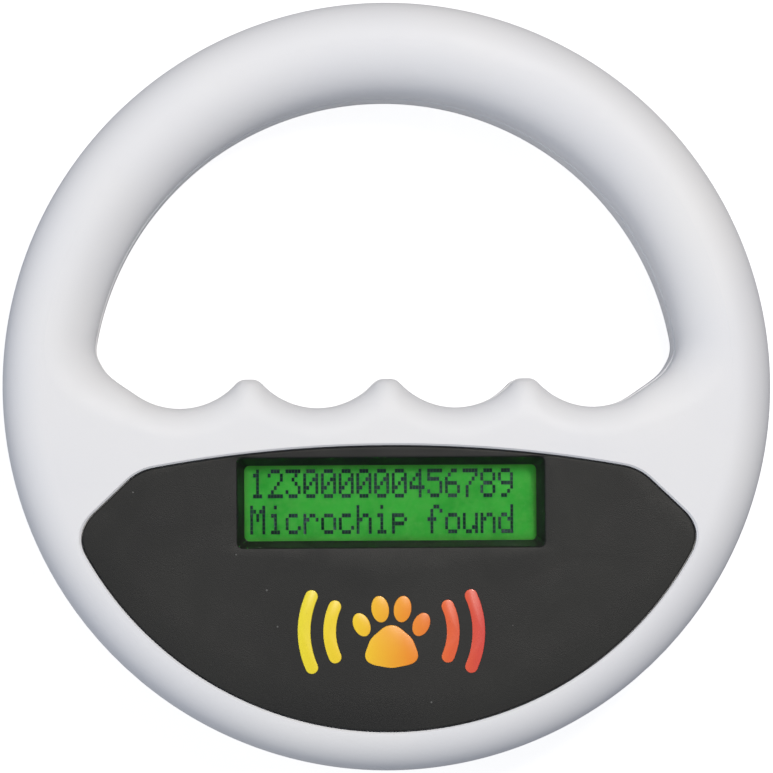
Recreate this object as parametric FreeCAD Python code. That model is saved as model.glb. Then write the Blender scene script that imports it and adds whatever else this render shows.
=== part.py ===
import FreeCAD, Part
import math
import os

# Hand-held pet microchip scanner, in millimetres. It lies on its back: +Z is out of its face, +Y is
# towards the carrying arch, +X is to the right of someone reading the display. The origin is the
# centre of the ring, on the back face.

# The ring and its shells
ring_radius = 72.5
body_depth = 27.0
seam_height = 14.0
wall = 2.2
front_edge_round = 7.5
back_edge_round = 4.0
seam_groove = 0.25

# The hand opening: a wide arc, two corners and four finger grooves between three flat-topped ridges
opening_radius = 55.4
opening_centre_y = -0.9
corner_radius = 7.5
corner_angle = 11.5
groove_radius = 14.5
groove_pitch = 26.05
groove_centre_y = 10.35
ridge_top_y = 1.3
arch_flare = 9.5
groove_flare = 6.0
back_flare = 3.0

# The hollow inside the shells
cavity_radius = ring_radius - wall
arch_inner_radius = opening_radius + wall
arch_ceiling = 21.0
body_ceiling = 23.0
body_ceiling_radius = 69.0
cavity_top_y = -7.2
body_ceiling_top_y = -9.0

# The fascia and its recess
recess_floor = 25.0
panel_top = 26.7
panel_gap = 0.2
panel_top_y = -11.3
panel_bottom_arc = 65.2
panel_shoulder = (47.2, -15.9)
panel_elbow = (59.2, -27.3)
panel_shoulder_round = 8.0
panel_elbow_round = 6.5

# The display window, a tapered well through the fascia
window_centre = (0.4, -22.1)
window_top = (58.0, 17.1)
window_bottom = (55.0, 14.2)
window_corner = 1.0
well_bottom = 22.4
collar_size = (59.4, 17.5)
collar_corner = 1.2
collar_clearance = 0.1
lens_size = (60.6, 19.8)
lens_thickness = 1.0
gasket_thickness = 0.5

# The display module, under the lens
frame_size = (64.0, 24.0)
frame_opening = (57.4, 16.4)
emblem_centre = (0.3, -46.3)
emblem_raise = 0.15
paw_pad = (0.0, -3.2, 5.1, 4.0, 0.0)
paw_toes = ((5.6, 1.3, 2.3, 1.55, 24.0), (2.1, 4.2, 2.5, 1.65, 8.0))
wave_radii = (11.6, 16.4)
wave_width = 2.4
wave_half_angle = 24.0
frame_sheet = 0.5
glass_thickness = 1.5
backlight_thickness = 2.9
display_board_size = (75.0, 28.6)
display_board_thickness = 1.6
display_screw_x = 34.5
display_screw_dy = 12.0
header_pin_count = 16
header_pitch = 2.54
header_pin = 0.64
header_y = -34.9

# The main board
board_bottom = 8.0
board_thickness = 1.6
board_top = board_bottom + board_thickness
board_outline = [
    (50.0, -12.0), (50.0, -30.0), (38.0, -40.0), (25.0, -44.0), (25.0, -60.0), (9.0, -60.0), (9.0, -68.5),
]
board_screw_points = [(44.0, -17.0), (20.0, -56.5)]

# Screws: head radius, head height, shank radius
case_screw = (2.3, 1.8, 1.2)
small_screw = (1.7, 1.2, 0.9)
case_screw_seat = 4.0
case_screw_tip = 20.0
case_boss_radius = 3.0
case_post_radius = 3.5
arch_screw_radius = 60.8
arch_screw_angles = (28.0, 90.0, 152.0)
body_screw_points = [(56.5, -22.0), (33.0, -51.0)]

# The aerial
coil_inner = 65.2
coil_outer = 69.2
coil_bottom = 14.8
coil_top = 20.4
coil_clip_angles = (8.0, 58.0, 122.0, 172.0, 212.0, 250.0, 290.0, 328.0)

# The read button, in the back
button_centre = (0.0, -22.0)
button_radius = 7.0
button_recess = 0.5
button_travel = 0.5
stem_end = 3.98
switch_bottom = 5.0
dish_radius = 12.0

# The buzzer, whose sound holes are in the back, and the blank rating label
buzzer_centre = (29.0, -26.0)
buzzer_holes = [(0.0, 0.0), (3.0, 0.0), (-3.0, 0.0), (0.0, 3.0), (0.0, -3.0)]
label_y = -47.0
label_size = (40.0, 18.0)

# The battery
cell_size = (46.0, 18.0, 7.0)
cell_centre_y = -49.2
cell_bottom = 11.4
lead_diameter = 1.0

# The USB socket and its hinged cover, in the rim under the fascia
usb_width = 7.7
usb_height = 3.9
usb_length = 9.2
usb_mouth_y = -71.0
usb_sheet = 0.35
port_half_width = 8.2
port_floor_y = -71.1
port_bottom = 5.9
port_top = 17.2
hinge_y = -71.75
hinge_z = 7.2
knuckle_radius = 0.75
pin_radius = 0.5
pin_clearance = 0.05

big = 200.0


def vec(x, y, z=0.0):
    return FreeCAD.Vector(x, y, z)


def box(x0, x1, y0, y1, z0, z1):
    return Part.makeBox(x1 - x0, y1 - y0, z1 - z0, vec(x0, y0, z0))


def centred_box(cx, cy, sx, sy, z0, z1):
    return box(cx - sx / 2, cx + sx / 2, cy - sy / 2, cy + sy / 2, z0, z1)


def cylinder(cx, cy, radius, z0, z1):
    return Part.makeCylinder(radius, z1 - z0, vec(cx, cy, z0))


def fuse_all(shapes):
    result = shapes[0].multiFuse(shapes[1:]) if len(shapes) > 1 else shapes[0]
    return result.removeSplitter()


def cut_all(shape, tools):
    for tool in tools:
        shape = shape.cut(tool)
    return shape


def both_sides(points):
    return [(side * x, y) for x, y in points for side in (-1, 1)]


def polar(radius, degrees):
    return radius * math.cos(math.radians(degrees)), radius * math.sin(math.radians(degrees))


def profile_face(steps):
    """A face in the XZ plane. Each step is (r, z), or (mid r, mid z, r, z) for an arc."""
    edges = []
    here = steps[0]
    for step in steps[1:] + [steps[0]]:
        start = vec(here[0], 0, here[1])
        end = vec(step[-2], 0, step[-1])
        if len(step) == 4:
            edges.append(Part.Arc(start, vec(step[0], 0, step[1]), end).toShape())
        else:
            edges.append(Part.LineSegment(start, end).toShape())
        here = step[-2:]
    return Part.Face(Part.Wire(edges))


def turned(steps, centre=(0.0, 0.0), start=0.0, sweep=360.0):
    face = profile_face(steps)
    face.rotate(vec(0, 0), vec(0, 0, 1), start)
    solid = face.revolve(vec(0, 0), vec(0, 0, 1), sweep)
    solid.translate(vec(*centre))
    return solid


def rounded_rectangle(cx, cy, sx, sy, corner, z):
    half_x = sx / 2 - corner
    half_y = sy / 2 - corner
    diagonal = corner * math.sqrt(0.5)
    edges = []
    corners = [(1, -1), (1, 1), (-1, 1), (-1, -1)]
    ends = []
    for kx, ky in corners:
        px = cx + kx * half_x
        py = cy + ky * half_y
        along_x = vec(px, py + ky * corner, z)
        along_y = vec(px + kx * corner, py, z)
        middle = vec(px + kx * diagonal, py + ky * diagonal, z)
        first, last = (along_x, along_y) if kx * ky < 0 else (along_y, along_x)
        edges.append(Part.Arc(first, middle, last).toShape())
        ends.append((first, last))
    for k in range(4):
        edges.append(Part.LineSegment(ends[k][1], ends[(k + 1) % 4][0]).toShape())
    return Part.Wire(Part.__sortEdges__(edges))


def rounded_plate(cx, cy, sx, sy, corner, z0, z1):
    face = Part.Face(rounded_rectangle(cx, cy, sx, sy, corner, z0))
    return face.extrude(vec(0, 0, z1 - z0))


def lead(points, diameter):
    """A wire along straight runs joined by tangent arcs, each as large as its two runs allow."""
    places = [vec(*p) for p in points]
    edges = []
    start = places[0]
    for before, here, after in zip(places, places[1:], places[2:]):
        to_start = before - here
        to_end = after - here
        turn = math.pi - to_start.getAngle(to_end)
        reach = 0.45 * min(to_start.Length, to_end.Length)
        radius = reach / math.tan(turn / 2)
        print("lead arc radius %.2f mm, turn %.0f degrees" % (radius, math.degrees(turn)))
        to_start.normalize()
        to_end.normalize()
        first = here + to_start * reach
        last = here + to_end * reach
        inward = to_start + to_end
        inward.normalize()
        middle = here + inward * (radius / math.cos(turn / 2) - radius)
        edges.append(Part.LineSegment(start, first).toShape())
        edges.append(Part.Arc(first, middle, last).toShape())
        start = last
    edges.append(Part.LineSegment(start, places[-1]).toShape())
    path = Part.Wire(edges)
    heading = places[1] - places[0]
    section = Part.Wire(Part.makeCircle(diameter / 2, places[0], heading))
    tube = path.makePipeShell([section], True, False)
    expected = math.pi * diameter * diameter / 4 * path.Length
    print("lead volume %.2f of %.2f mm3" % (tube.Volume, expected))
    return tube


# Shells

def opening_profile(radius, flare, inner=0.0):
    """Half-section of the opening at one of its arcs: rounded at the back, flared at the front."""
    slope = 1 - math.sqrt(0.5)
    return [
        (inner, -1.0),
        (radius + back_flare, -1.0),
        (radius + back_flare, 0.0),
        (radius + back_flare * slope, back_flare * slope, radius, back_flare),
        (radius, body_depth - flare),
        (radius + flare * slope, body_depth - flare * slope, radius + flare, body_depth),
        (radius + flare, body_depth + 1.0),
        (inner, body_depth + 1.0),
    ]


def corner_centre(side):
    x, y = polar(opening_radius - corner_radius, corner_angle)
    return side * x, opening_centre_y + y


def hand_opening():
    arch_sweep = 180.0 - 2 * corner_angle
    middle_radius = 40.0
    arch_profile = opening_profile(opening_radius, arch_flare, inner=middle_radius - 10.0)
    tools = [turned(arch_profile, (0.0, opening_centre_y), corner_angle, arch_sweep)]
    middle = cylinder(0.0, opening_centre_y, middle_radius, -1.0, body_depth + 1.0)
    tools.append(middle.common(box(-big, big, ridge_top_y, big, -1.0, body_depth + 1.0)))
    tools.append(box(-45.0, 45.0, ridge_top_y, 12.0, -1.0, body_depth + 1.0))
    corner_profile = opening_profile(corner_radius, arch_flare)
    corner_sweep = 170.0
    tools.append(turned(corner_profile, corner_centre(1), corner_angle - corner_sweep, corner_sweep))
    tools.append(turned(corner_profile, corner_centre(-1), 180.0 - corner_angle, corner_sweep))
    for k in (-1.5, -0.5, 0.5, 1.5):
        centre = (k * groove_pitch, groove_centre_y)
        tools.append(turned(opening_profile(groove_radius, groove_flare), centre))
    return fuse_all(tools)


def whole_body():
    slope = 1 - math.sqrt(0.5)
    outer = turned([
        (0.0, 0.0),
        (ring_radius - back_edge_round, 0.0),
        (ring_radius - back_edge_round * slope, back_edge_round * slope, ring_radius, back_edge_round),
        (ring_radius, seam_height - seam_groove),
        (ring_radius - seam_groove, seam_height),
        (ring_radius, seam_height + seam_groove),
        (ring_radius, body_depth - front_edge_round),
        (ring_radius - front_edge_round * slope, body_depth - front_edge_round * slope,
         ring_radius - front_edge_round, body_depth),
        (0.0, body_depth),
    ])
    return outer.cut(hand_opening())


def cavity():
    arch_core = cylinder(0.0, opening_centre_y, arch_inner_radius, 0.0, body_depth)
    arch_core = arch_core.common(box(-big, big, cavity_top_y, big, 0.0, body_depth))
    hollow = cylinder(0.0, 0.0, cavity_radius, wall, arch_ceiling).cut(arch_core)
    upper = cylinder(0.0, 0.0, body_ceiling_radius, arch_ceiling - 1.0, body_ceiling)
    upper = upper.common(box(-big, big, -big, body_ceiling_top_y, 0.0, body_depth))
    return hollow.fuse(upper)


def port_pocket():
    """The sunken seat of the port cover, the groove of its hinge and the hole for the socket."""
    pocket = box(-port_half_width, port_half_width, -big, port_floor_y, port_bottom, port_top)
    groove = Part.makeCylinder(knuckle_radius + 0.25, 2 * port_half_width,
                               vec(-port_half_width, hinge_y, hinge_z), vec(1, 0, 0))
    gap = 0.3
    hole = box(-usb_width / 2 - gap, usb_width / 2 + gap, -big, -cavity_radius + 3.0,
               board_top - gap, seam_height)
    return [pocket, groove, hole]


def case_screw_points():
    arch = [polar(arch_screw_radius, angle) for angle in arch_screw_angles]
    return arch + both_sides(body_screw_points)


def panel_prism(inset, z0, z1):
    """The fascia's outline: a shallow top arc, two cut shoulders and an arc parallel to the rim."""
    sx, sy = panel_shoulder
    ex, ey = panel_elbow
    top_y = panel_top_y
    bottom = panel_bottom_arc
    edges = [
        Part.Arc(vec(-sx, sy), vec(0, top_y), vec(sx, sy)).toShape(),
        Part.LineSegment(vec(sx, sy), vec(ex, ey)).toShape(),
        Part.Arc(vec(ex, ey), vec(0, -bottom), vec(-ex, ey)).toShape(),
        Part.LineSegment(vec(-ex, ey), vec(-sx, sy)).toShape(),
    ]
    prism = Part.Face(Part.Wire(edges)).extrude(vec(0, 0, z1 - z0))
    prism.translate(vec(0, 0, z0))
    for corner_x, radius in ((sx, panel_shoulder_round), (ex, panel_elbow_round)):
        uprights = [e for e in prism.Edges if upright_at(e, corner_x)]
        prism = prism.makeFillet(radius, uprights)
    if inset:
        outline = prism.Faces[0]
        for face in prism.Faces:
            if face.CenterOfMass.z < outline.CenterOfMass.z:
                outline = face
        smaller = Part.Face(outline.OuterWire.makeOffset2D(-inset))
        prism = smaller.extrude(vec(0, 0, z1 - z0))
    return prism


def upright_at(edge, corner_x):
    if len(edge.Vertexes) != 2:
        return False
    a, b = (v.Point for v in edge.Vertexes)
    vertical = abs(a.x - b.x) < 0.01 and abs(a.y - b.y) < 0.01
    return vertical and abs(abs(a.x) - corner_x) < 0.01


def front_shell():
    shell = whole_body().common(box(-big, big, -big, big, seam_height, big)).cut(cavity())
    bosses = []
    for x, y in case_screw_points():
        top = arch_ceiling if y > 0 else body_ceiling
        bosses.append(cylinder(x, y, case_boss_radius, seam_height, top + 0.5))
    display_posts = []
    for x, y in display_screw_points():
        display_posts.append(cylinder(x, y, 2.0, display_board_top(), body_ceiling + 0.5))
    ribs = []
    for x in (-12.0, 12.0):
        rib_bottom = cell_bottom + cell_size[2] + 0.1
        ribs.append(box(x - 1.0, x + 1.0, -57.0, -42.0, rib_bottom, body_ceiling + 0.5))
    shell = fuse_all([shell] + bosses + display_posts + ribs)
    cuts = [cylinder(x, y, case_screw[2] + 0.05, seam_height, case_screw_tip + 0.5)
            for x, y in case_screw_points()]
    cuts += [cylinder(x, y, small_screw[2] + 0.05, display_board_top(), display_board_top() + 4.5)
             for x, y in display_screw_points()]
    cuts.append(panel_prism(0.0, recess_floor, body_depth + 1.0))
    well_x, well_y = (size + 2 * collar_clearance for size in collar_size)
    cuts.append(rounded_plate(*window_centre, well_x, well_y, collar_corner, body_ceiling - 1.0, body_depth))
    cuts += port_pocket()
    return cut_all(shell, cuts)


def rear_shell():
    shell = whole_body().common(box(-big, big, -big, big, -big, seam_height)).cut(cavity())
    posts = [cylinder(x, y, case_post_radius, wall - 0.5, seam_height) for x, y in case_screw_points()]
    posts += [cylinder(x, y, 2.5, wall - 0.5, board_bottom) for x, y in both_sides(board_screw_points)]
    guide = cylinder(*button_centre, button_radius + 3.2, wall - 0.5, wall + 1.6)
    guide = guide.cut(cylinder(*button_centre, button_radius + 2.0, 0.0, wall + 2.0))
    shell = fuse_all([shell, guide] + posts)
    cuts = []
    for x, y in case_screw_points():
        cuts.append(cylinder(x, y, case_screw[0] + 0.3, -1.0, case_screw_seat))
        cuts.append(cylinder(x, y, case_screw[2] + 0.25, 0.0, seam_height))
    for x, y in both_sides(board_screw_points):
        cuts.append(cylinder(x, y, small_screw[2] + 0.05, wall + 1.3, board_bottom))
    cuts.append(cylinder(*button_centre, button_radius + 0.15, -1.0, wall + 0.1))
    cuts.append(turned([(0.0, -0.01), (dish_radius, -0.01), (button_radius, button_recess),
                        (0.0, button_recess)], button_centre))
    for dx, dy in buzzer_holes:
        cuts.append(cylinder(buzzer_centre[0] + dx, buzzer_centre[1] + dy, 0.75, -1.0, wall + 1.0))
    cuts.append(rounded_plate(0.0, label_y, label_size[0] + 0.6, label_size[1] + 0.6, 1.5, -1.0, 0.3))
    cuts += port_pocket()
    cuts.append(Part.makeCylinder(pin_radius, 18.2, vec(-9.1, hinge_y, hinge_z), vec(1, 0, 0)))
    return cut_all(shell, cuts)


# Fascia and window

def tapered_well():
    cx, cy = window_centre
    levels = []
    for (sx, sy), z in ((window_bottom, well_bottom), (window_top, panel_top)):
        corners = [vec(cx + kx * sx / 2, cy + ky * sy / 2, z)
                   for kx, ky in ((-1, -1), (1, -1), (1, 1), (-1, 1), (-1, -1))]
        levels.append(Part.makePolygon(corners))
    well = Part.makeLoft(levels, True, True)
    slanted = [e for e in well.Edges if abs(e.Vertexes[0].Z - e.Vertexes[1].Z) > 1.0]
    return well.makeFillet(window_corner, slanted)


def front_panel():
    plate = panel_prism(panel_gap, recess_floor, panel_top)
    collar = rounded_plate(*window_centre, *collar_size, collar_corner, well_bottom, recess_floor + 0.5)
    plate = fuse_all([plate, collar])
    return plate.cut(tapered_well())


def emblem_oval(x, y, half_length, half_width, turn):
    oval = Part.Face(Part.Wire(Part.Ellipse(vec(0, 0, panel_top), half_length, half_width).toShape()))
    oval.rotate(vec(0, 0, 0), vec(0, 0, 1), turn)
    oval.translate(vec(emblem_centre[0] + x, emblem_centre[1] + y, 0))
    return oval.extrude(vec(0, 0, emblem_raise))


def emblem_wave(radius, middle):
    half = wave_width / 2
    top = panel_top + emblem_raise
    section = [(radius - half, panel_top), (radius + half, panel_top), (radius + half, top), (radius - half, top)]
    wave = turned(section, emblem_centre, middle - wave_half_angle, 2 * wave_half_angle)
    for end in (middle - wave_half_angle, middle + wave_half_angle):
        x, y = polar(radius, end)
        wave = wave.fuse(cylinder(emblem_centre[0] + x, emblem_centre[1] + y, half, panel_top, top))
    return wave.removeSplitter()


def panel_emblem():
    """A paw print between two pairs of radio waves, raised a hair above the fascia."""
    pieces = [emblem_oval(*paw_pad)]
    for side in (-1, 1):
        for x, y, half_length, half_width, lean in paw_toes:
            pieces.append(emblem_oval(side * x, y, half_length, half_width, 90.0 - side * lean))
        for radius in wave_radii:
            pieces.append(emblem_wave(radius, 90.0 - side * 90.0))
    return Part.makeCompound(pieces)


def lens_bottom():
    return well_bottom - lens_thickness


def window_lens():
    return rounded_plate(*window_centre, *lens_size, collar_corner, lens_bottom(), well_bottom)


def frame_top():
    return lens_bottom() - gasket_thickness


def lens_gasket():
    outer = rounded_plate(*window_centre, *lens_size, collar_corner, frame_top(), lens_bottom())
    return outer.cut(rounded_plate(*window_centre, *frame_opening, 0.8, 0.0, body_depth))


# Display module

def glass_top():
    return frame_top() - frame_sheet


def backlight_top():
    return glass_top() - glass_thickness


def display_board_top():
    return backlight_top() - backlight_thickness


def display_board_bottom():
    return display_board_top() - display_board_thickness


def display_screw_points():
    return [(kx * display_screw_x, window_centre[1] + ky * display_screw_dy)
            for kx in (-1, 1) for ky in (-1, 1)]


def frame_tabs(grow, z0, z1):
    cx, cy = window_centre
    reach = frame_size[1] / 2 - frame_sheet / 2
    return [centred_box(cx + dx, cy + ky * reach, 2.0 + grow, frame_sheet + grow, z0, z1)
            for dx in (-22.0, 22.0) for ky in (-1, 1)]


def lcd_bezel():
    cx, cy = window_centre
    outer = rounded_plate(cx, cy, *frame_size, 0.8, display_board_top(), frame_top())
    inner = centred_box(cx, cy, frame_size[0] - 2 * frame_sheet, frame_size[1] - 2 * frame_sheet,
                        0.0, glass_top())
    frame = outer.cut(inner).cut(rounded_plate(cx, cy, *frame_opening, 0.6, 0.0, body_depth))
    return fuse_all([frame] + frame_tabs(0.0, display_board_bottom() - 0.6, display_board_top() + 0.5))


def lcd_glass():
    cx, cy = window_centre
    gap = 0.3
    width = frame_size[0] - 2 * frame_sheet - gap
    height = frame_size[1] - 2 * frame_sheet - gap
    return centred_box(cx, cy, width, height, backlight_top(), glass_top())


def lcd_backlight():
    cx, cy = window_centre
    gap = 0.3
    width = frame_size[0] - 2 * frame_sheet - gap
    height = frame_size[1] - 2 * frame_sheet - gap
    return centred_box(cx, cy, width, height, display_board_top(), backlight_top())


def lcd_board():
    plate = centred_box(0.0, window_centre[1], *display_board_size,
                        display_board_bottom(), display_board_top())
    holes = [cylinder(x, y, 1.1, 0.0, body_depth) for x, y in display_screw_points()]
    return cut_all(plate, holes + frame_tabs(0.4, 0.0, body_depth))


def header_xs():
    return [(k - (header_pin_count - 1) / 2) * header_pitch for k in range(header_pin_count)]


def lcd_header_strip():
    strip_top = board_top + 2.5
    strip = centred_box(0.0, header_y, header_pin_count * header_pitch, header_pitch, board_top, strip_top)
    holes = [centred_box(x, header_y, header_pin + 0.06, header_pin + 0.06, 0.0, body_depth)
             for x in header_xs()]
    return cut_all(strip, holes)


def lcd_header_pins():
    pins = [centred_box(x, header_y, header_pin, header_pin, board_top, display_board_bottom())
            for x in header_xs()]
    return Part.makeCompound(pins)


# Screws, all with their heads at the lower end unless turned over

def screw(x, y, seat, tip, sizes):
    head_radius, head_height, shank_radius = sizes
    up = 1 if tip > seat else -1
    head = cylinder(x, y, head_radius, min(seat, seat - up * head_height), max(seat, seat - up * head_height))
    shank = cylinder(x, y, shank_radius, min(seat, tip), max(seat, tip))
    slot_depth = 0.5 * head_height
    face = seat - up * head_height
    z0, z1 = sorted((face - up * 0.1, face + up * slot_depth))
    slot_long = 1.3 * head_radius
    slot_wide = 0.3 * head_radius
    body = fuse_all([head, shank])
    body = body.cut(centred_box(x, y, slot_long, slot_wide, z0, z1))
    return body.cut(centred_box(x, y, slot_wide, slot_long, z0, z1))


def case_screws():
    return Part.makeCompound([screw(x, y, case_screw_seat, case_screw_tip, case_screw)
                              for x, y in case_screw_points()])


def board_screws():
    return Part.makeCompound([screw(x, y, board_top, wall + 1.5, small_screw)
                              for x, y in both_sides(board_screw_points)])


def lcd_screws():
    return Part.makeCompound([screw(x, y, display_board_bottom(), display_board_top() + 4.0, small_screw)
                              for x, y in display_screw_points()])


# Main board and what is soldered to it

def main_board():
    left = [(-x, y) for x, y in reversed(board_outline)]
    points = [vec(x, y, board_bottom) for x, y in board_outline + left]
    plate = Part.Face(Part.makePolygon(points + points[:1])).extrude(vec(0, 0, board_thickness))
    holes = [cylinder(x, y, 1.1, 0.0, body_depth) for x, y in both_sides(board_screw_points)]
    return cut_all(plate, holes)


def leaded_chip(cx, cy, sx, sy, height, pins, pin_pitch, four_sides=False):
    """A moulded chip with gull-wing legs, its body held just above the board."""
    stand = 0.1
    body = centred_box(cx, cy, sx, sy, board_top + stand, board_top + height)
    legs = []
    leg_reach = 0.8
    leg_thick = 0.15
    for k in range(pins):
        along = (k - (pins - 1) / 2) * pin_pitch
        for side in (-1, 1):
            root = side * sy / 2
            foot = side * (sy / 2 + leg_reach)
            x0 = cx + along - 0.15
            y0, y1 = sorted((cy + root, cy + foot))
            legs.append(box(x0, x0 + 0.3, y0, y1, board_top, board_top + leg_thick))
            if four_sides:
                x2, x3 = sorted((cx + side * sx / 2, cx + side * (sx / 2 + leg_reach)))
                legs.append(box(x2, x3, cy + along - 0.15, cy + along + 0.15,
                                board_top, board_top + leg_thick))
    return fuse_all([body] + legs)


def microcontroller():
    return leaded_chip(12.0, -22.0, 10.0, 10.0, 1.5, 16, 0.5, four_sides=True)


def antenna_driver():
    return leaded_chip(-38.0, -24.0, 8.6, 3.9, 1.6, 7, 1.27)


def memory_chip():
    return leaded_chip(26.0, -17.0, 4.9, 3.9, 1.5, 4, 1.27)


def charge_controller():
    return leaded_chip(0.0, -38.6, 3.0, 1.7, 1.1, 3, 0.95)


def voltage_regulator():
    return leaded_chip(-12.0, -22.0, 6.5, 3.5, 1.7, 3, 2.3)


def tuning_capacitors():
    return Part.makeCompound([centred_box(-44.5, -24.0 - 4.0 * k, 3.2, 2.5, board_top, board_top + 1.8)
                              for k in range(2)] +
                             [centred_box(-24.0, -16.0 - 4.0 * k, 3.2, 2.5, board_top, board_top + 1.8)
                              for k in range(3)])


def power_inductor():
    bobbin = cylinder(38.0, -26.0, 3.4, board_top, board_top + 4.0)
    waist = cylinder(38.0, -26.0, 3.4, board_top + 0.8, board_top + 3.2)
    waist = waist.cut(cylinder(38.0, -26.0, 2.4, 0.0, body_depth))
    return bobbin.cut(waist)


def crystal():
    return rounded_plate(12.0, -30.2, 11.0, 4.4, 2.1, board_top, board_top + 3.6)


def buzzer():
    can = cylinder(*buzzer_centre, 5.8, board_bottom - 4.0, board_bottom)
    return can.cut(cylinder(*buzzer_centre, 1.0, 0.0, board_bottom - 2.5))


# Read button and its switch

def read_button():
    cap = cylinder(*button_centre, button_radius, button_recess, wall + 0.3)
    cap = cap.makeChamfer(0.4, [e for e in cap.Edges if abs(e.CenterOfMass.z - button_recess) < 0.01])
    flange = cylinder(*button_centre, button_radius + 1.5, wall + 0.05, wall + 0.9)
    stem = cylinder(*button_centre, 2.2, wall + 0.5, stem_end)
    dimple_radius = 30.0
    dimple = Part.makeSphere(dimple_radius, vec(*button_centre, button_recess + 0.5 - dimple_radius))
    return fuse_all([cap, flange, stem]).cut(dimple)


def switch_plunger():
    return cylinder(*button_centre, 1.7, stem_end + 0.02, switch_bottom + 0.6)


def switch_body():
    body = centred_box(*button_centre, 6.2, 6.2, switch_bottom, board_bottom)
    return body.cut(cylinder(*button_centre, 1.75, 0.0, switch_bottom + 0.6 + button_travel + 0.2))


# Aerial

def antenna_coil():
    ring = cylinder(0.0, 0.0, coil_outer, coil_bottom, coil_top)
    ring = ring.cut(cylinder(0.0, 0.0, coil_inner, 0.0, body_depth))
    return ring.makeFillet(0.8, [e for e in ring.Edges if e.Length > 300.0])


def coil_clips():
    clips = []
    for angle in coil_clip_angles:
        clip = turned([
            (coil_inner - 0.9, coil_top - 4.0), (coil_inner - 0.15, coil_top - 4.0),
            (coil_inner - 0.15, coil_top + 0.05), (coil_outer + 0.1, coil_top + 0.05),
            (coil_outer + 0.1, arch_ceiling), (coil_inner - 0.9, arch_ceiling),
        ], (0.0, 0.0), angle - 2.0, 4.0)
        clips.append(clip)
    return Part.makeCompound(clips)


def antenna_leads():
    wires = []
    for k in (0, 1):
        down = 1.6 * k
        wires.append(lead([
            (-63.6, -9.2 - down, 16.6),
            (-57.6, -10.6 - down, 16.6),
            (-52.4, -12.4 - down, 15.4),
            (-48.6, -13.4 - down, 12.6),
            (-48.6, -13.4 - down, board_top),
        ], lead_diameter))
    return Part.makeCompound(wires)


# Battery

def battery_cell():
    x, y, z = cell_size
    block = centred_box(0.0, cell_centre_y, x, y, cell_bottom, cell_bottom + z)
    long_edges = [e for e in block.Edges if abs(e.Length - x) < 0.01]
    return block.makeFillet(1.5, long_edges)


def battery_pad():
    return centred_box(0.0, cell_centre_y, 28.0, 12.0, board_top, cell_bottom)


def battery_leads():
    lead_z = cell_bottom + 2.2
    start_x = -cell_size[0] / 2
    wires = [lead([(start_x, -44.6 + gap, lead_z), (-30.6 + gap, -44.6 + gap, lead_z),
                   (-30.6 + gap, -37.4, lead_z)], lead_diameter) for gap in (0.0, 1.4)]
    return Part.makeCompound(wires)


def battery_plug():
    lead_z = cell_bottom + 2.2
    return centred_box(-29.9, -35.2, 3.8, 4.4, lead_z - 1.2, lead_z + 0.6)


def battery_socket():
    lead_z = cell_bottom + 2.2
    body = box(-32.6, -27.2, -36.4, -31.6, board_top, display_board_bottom() - 0.1)
    return body.cut(box(-31.9, -27.9, -37.0, -32.8, lead_z - 1.3, lead_z + 0.7))


# USB socket and its cover

def usb_socket_shell():
    outer = box(-usb_width / 2, usb_width / 2, usb_mouth_y, usb_mouth_y + usb_length,
                board_top, board_top + usb_height)
    t = usb_sheet
    inner = box(-usb_width / 2 + t, usb_width / 2 - t, usb_mouth_y - 1.0, usb_mouth_y + usb_length - t,
                board_top + t, board_top + usb_height - t)
    return outer.cut(inner)


def usb_socket_tongue():
    t = usb_sheet
    back = usb_mouth_y + usb_length - t
    block = box(-usb_width / 2 + t, usb_width / 2 - t, back - 2.5, back,
                board_top + t, board_top + usb_height - t)
    middle = board_top + usb_height / 2
    tongue = box(-2.4, 2.4, usb_mouth_y + 1.6, back - 1.0, middle - 0.5, middle + 0.5)
    return fuse_all([block, tongue])


def port_cover():
    half = port_half_width - 0.2
    inner_y = port_floor_y - 0.1
    plate = box(-half, half, -big, inner_y, hinge_z, port_top - 0.2)
    knuckle = Part.makeCylinder(knuckle_radius, 2 * half, vec(-half, hinge_y, hinge_z), vec(1, 0, 0))
    middle = board_top + usb_height / 2
    plug = box(-3.0, 3.0, inner_y - 0.2, inner_y + 1.0, middle - 1.1, middle + 1.1)
    cover = fuse_all([plate, knuckle]).common(cylinder(0.0, 0.0, ring_radius, 0.0, body_depth))
    cover = fuse_all([cover, plug])
    bore = Part.makeCylinder(pin_radius + pin_clearance, 2 * big, vec(-big, hinge_y, hinge_z), vec(1, 0, 0))
    nail_notch = Part.makeCylinder(3.2, 2.0, vec(0, -ring_radius - 1.4, port_top + 1.2), vec(0, 1, 0))
    return cover.cut(bore).cut(nail_notch)


def cover_pin():
    return Part.makeCylinder(pin_radius, 18.0, vec(-9.0, hinge_y, hinge_z), vec(1, 0, 0))


def rating_label():
    return rounded_plate(0.0, label_y, *label_size, 1.2, 0.08, 0.3)


makers = [
    front_shell, rear_shell, front_panel, panel_emblem, window_lens, lens_gasket,
    lcd_bezel, lcd_glass, lcd_backlight, lcd_board, lcd_header_strip, lcd_header_pins, lcd_screws,
    main_board, board_screws, microcontroller, antenna_driver, memory_chip, charge_controller,
    voltage_regulator, tuning_capacitors, power_inductor, crystal, buzzer,
    read_button, switch_plunger, switch_body, antenna_coil, coil_clips, antenna_leads,
    battery_cell, battery_pad, battery_leads, battery_plug, battery_socket,
    usb_socket_shell, usb_socket_tongue, port_cover, cover_pin, case_screws, rating_label,
]

os.makedirs("parts", exist_ok=True)
for maker in makers:
    shape = maker()
    node = maker.__name__
    shape.exportStep("parts/%s.step" % node)
    print("%-20s solids %d valid %s volume %.1f" % (node, len(shape.Solids), shape.isValid(), shape.Volume))
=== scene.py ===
import bpy
import math
import numpy as np
from mathutils import Matrix, Vector


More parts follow.
